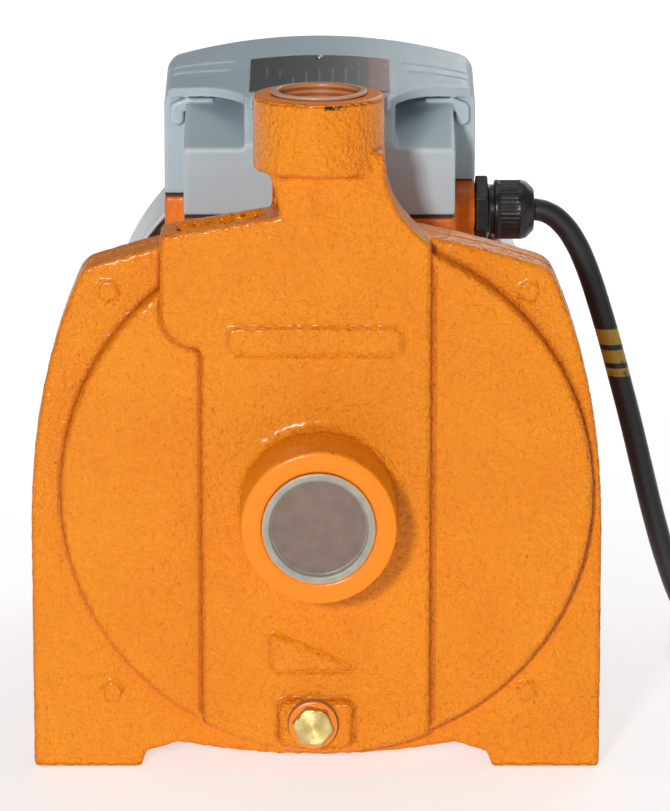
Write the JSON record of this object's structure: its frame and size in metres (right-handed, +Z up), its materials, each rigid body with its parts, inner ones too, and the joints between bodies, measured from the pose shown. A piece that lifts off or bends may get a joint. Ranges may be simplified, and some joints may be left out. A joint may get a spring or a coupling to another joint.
{
  "type": "centrifugal water pump",
  "caption": "Close-coupled centrifugal water pump with threaded suction and discharge ports, finned motor, terminal box and coiled mains lead.",
  "frame": {"origin": "on the floor, midway between the two foot bolt holes", "axes": "+Z up along the discharge port, -Y out of the suction port along the shaft, +X towards the cable gland"},
  "size_m": [0.397, 0.368, 0.2654],
  "materials": {
    "cast_paint": "orange gloss paint over rough cast iron",
    "motor_paint": "orange gloss paint over cast aluminium",
    "grey_plastic": "bluish grey satin moulding",
    "cover_paint": "bluish grey satin paint over pressed steel",
    "zinc_steel": "zinc plated",
    "bright_steel": "ground steel",
    "bearing_steel": "polished",
    "brass": "machined",
    "fibre": "fibre washer",
    "rubber": "matt",
    "ceramic": "lapped",
    "translucent_cap": "translucent grey polyethylene",
    "lamination": "stacked electrical steel",
    "copper_wire": "varnished copper wire",
    "black_plastic": "satin moulded nylon",
    "cord_rubber": "satin sheath",
    "cream_plastic": "moulded",
    "plate_print": "printed plate, blank"
  },
  "bodies": {
    "pump_body": {"pump_casing": "cast_paint", "wear_ring": "brass", "casing_seal": "rubber", "motor_bracket": "cast_paint", "casing_bolts": "zinc_steel", "seal_seat": "ceramic", "front_outer_race": "bearing_steel", "rear_outer_race": "bearing_steel", "wave_spring": "bright_steel", "stator_core": "lamination", "stator_windings": "copper_wire", "motor_housing": "motor_paint", "rear_end_shield": "motor_paint", "tie_rods": "zinc_steel", "fan_cover": "cover_paint", "fan_cover_screws": "zinc_steel", "terminal_base": "motor_paint", "terminal_gasket": "rubber", "terminal_cover": "grey_plastic", "terminal_cover_screws": "zinc_steel", "terminal_block": "cream_plastic", "terminal_studs": "brass", "capacitor": "cream_plastic", "capacitor_clip": "zinc_steel", "earth_screw": "brass", "gland_body": "black_plastic", "gland_nut": "black_plastic", "gland_seal": "rubber", "power_cord": "cord_rubber", "cord_coil": "cord_rubber", "cord_tail": "cord_rubber", "cord_tie": "black_plastic", "plug_body": "cord_rubber", "plug_pins": "bright_steel", "rating_plate": "plate_print", "plate_rivets": "zinc_steel"},
    "rotor": {"shaft": "bright_steel", "impeller": "brass", "impeller_key": "bright_steel", "impeller_nut": "brass", "seal_head": "rubber", "seal_spring": "bright_steel", "slinger": "rubber", "front_inner_race": "bearing_steel", "rear_inner_race": "bearing_steel", "rotor_core": "lamination", "fan": "black_plastic", "fan_clip": "bright_steel"},
    "front_ball_cage": {"front_balls": "bearing_steel"},
    "rear_ball_cage": {"rear_balls": "bearing_steel"},
    "suction_closure": {"suction_cap": "translucent_cap"},
    "discharge_closure": {"discharge_cap": "translucent_cap"},
    "drain_screw": {"drain_plug": "brass", "drain_washer": "fibre"}
  },
  "joints": [
    {"name": "rotor_spin", "type": "hinge", "parent": "pump_body", "child": "rotor", "pos_m": [0, 0.016, 0.1075], "axis": [0, 1, 0], "continuous": true},
    {"name": "front_ball_orbit", "type": "hinge", "parent": "pump_body", "child": "front_ball_cage", "pos_m": [0, 0.016, 0.1075], "axis": [0, 1, 0], "continuous": true},
    {"name": "rear_ball_orbit", "type": "hinge", "parent": "pump_body", "child": "rear_ball_cage", "pos_m": [0, 0.188, 0.1075], "axis": [0, 1, 0], "continuous": true},
    {"name": "suction_cap_pull", "type": "slide", "parent": "pump_body", "child": "suction_closure", "axis": [0, -1, 0], "range_m": [0, 0.1]},
    {"name": "discharge_cap_pull", "type": "slide", "parent": "pump_body", "child": "discharge_closure", "axis": [0, 0, 1], "range_m": [0, 0.1]},
    {"name": "drain_plug_pull", "type": "slide", "parent": "pump_body", "child": "drain_screw", "axis": [0, -1, 0], "range_m": [0, 0.03]}
  ],
  "couplings": [
    {"joint": "front_ball_orbit", "follows": "rotor_spin", "ratio": 0.3825},
    {"joint": "rear_ball_orbit", "follows": "rotor_spin", "ratio": 0.3825}
  ]
}
